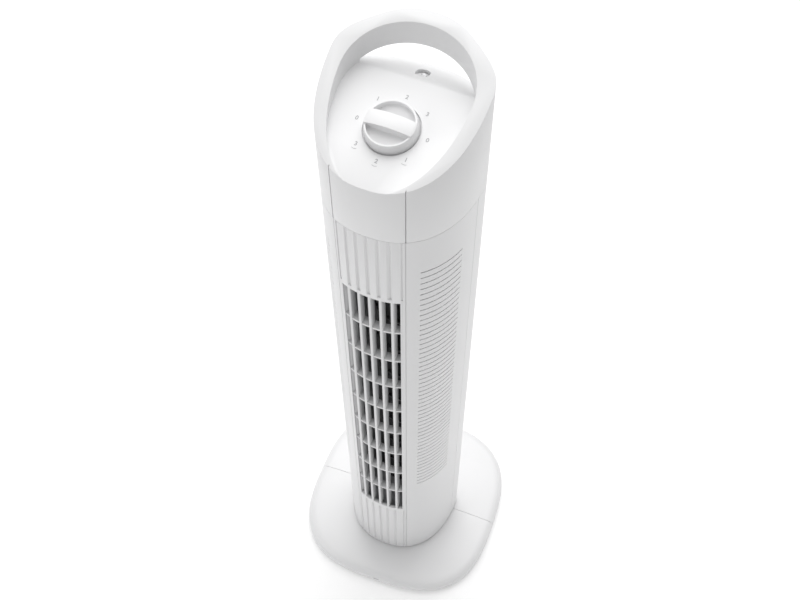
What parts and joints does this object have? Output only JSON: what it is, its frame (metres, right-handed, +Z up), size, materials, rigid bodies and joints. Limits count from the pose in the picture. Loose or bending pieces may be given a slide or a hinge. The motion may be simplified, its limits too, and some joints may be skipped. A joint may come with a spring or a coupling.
{
  "type": "tower fan",
  "caption": "Oscillating tower fan: a white oval column with a vertical air grille, slanted top with a carry handle and a rotary speed dial, on a square-round base",
  "frame": {"origin": "middle of the base on the floor, under the feet", "axes": "+Z up, -Y is the front of the base; the column is stored turned 4 degrees clockwise seen from above, which is how it stands in the picture"},
  "size_m": [0.2394, 0.2394, 0.7597],
  "materials": {
    "white_plastic": "satin moulded",
    "inner_plastic": "matte moulded",
    "dark_plastic": "matte moulded",
    "rubber": "matte",
    "steel": "zinc plated",
    "lamination": "stacked sheet",
    "winding": "enamelled copper wire",
    "nylon": "natural moulded"
  },
  "bodies": {
    "base": {"base_front_half": "white_plastic", "base_rear_half": "white_plastic", "swivel_hub": "inner_plastic", "swivel_ring": "nylon", "pivot_tube": "steel", "pivot_washer": "steel", "pivot_nut": "steel", "cord_inlet_bush": "rubber", "rubber_foot_1": "rubber", "rubber_foot_2": "rubber", "rubber_foot_3": "rubber", "rubber_foot_4": "rubber", "base_screw_1": "steel", "base_screw_2": "steel", "base_screw_3": "steel", "base_screw_4": "steel"},
    "column": {"front_housing": "white_plastic", "rear_housing": "white_plastic", "front_grille": "white_plastic", "top_housing": "white_plastic", "bottom_plate": "inner_plastic", "motor_deck": "inner_plastic", "bearing_deck": "inner_plastic", "duct_scroll": "inner_plastic", "duct_tongue": "inner_plastic", "motor_mount_1": "rubber", "motor_mount_2": "rubber", "wire_loom": "rubber", "housing_screw_1": "steel", "housing_screw_2": "steel", "housing_screw_3": "steel", "housing_screw_4": "steel", "handle_screw": "steel", "motor_top_bracket": "steel", "motor_bottom_bracket": "steel", "motor_screw_1": "steel", "motor_screw_2": "steel", "swing_motor": "steel", "swing_motor_screw_1": "steel", "swing_motor_screw_2": "steel", "switch_nut": "steel", "motor_core": "lamination", "motor_coil": "winding", "upper_bearing": "nylon", "rotary_switch": "nylon"},
    "impeller": {"impeller_wheel": "dark_plastic", "impeller_pin": "steel", "motor_shaft": "steel", "motor_rotor": "lamination"},
    "dial": {"speed_knob": "white_plastic", "switch_spindle": "nylon"},
    "crank": {"swing_crank": "nylon"}
  },
  "joints": [
    {"name": "column_swing", "type": "hinge", "parent": "base", "child": "column", "pos_m": [0, 0, 0.03], "axis": [0, 0, 1], "range_deg": [-31, 39]},
    {"name": "impeller_spin", "type": "hinge", "parent": "column", "child": "impeller", "pos_m": [0.00264, -0.0052, 0.35], "axis": [0, 0, 1], "continuous": true},
    {"name": "dial_turn", "type": "hinge", "parent": "column", "child": "dial", "pos_m": [-0.0017, -0.02434, 0.70925], "axis": [-0.0186, -0.2666, 0.9636], "continuous": true},
    {"name": "crank_turn", "type": "hinge", "parent": "column", "child": "crank", "pos_m": [-0.00171, -0.02444, 0.027], "axis": [0, 0, 1], "range_deg": [-117, 93]}
  ],
  "couplings": [
    {"joint": "crank_turn", "follows": "column_swing", "ratio": -3}
  ]
}
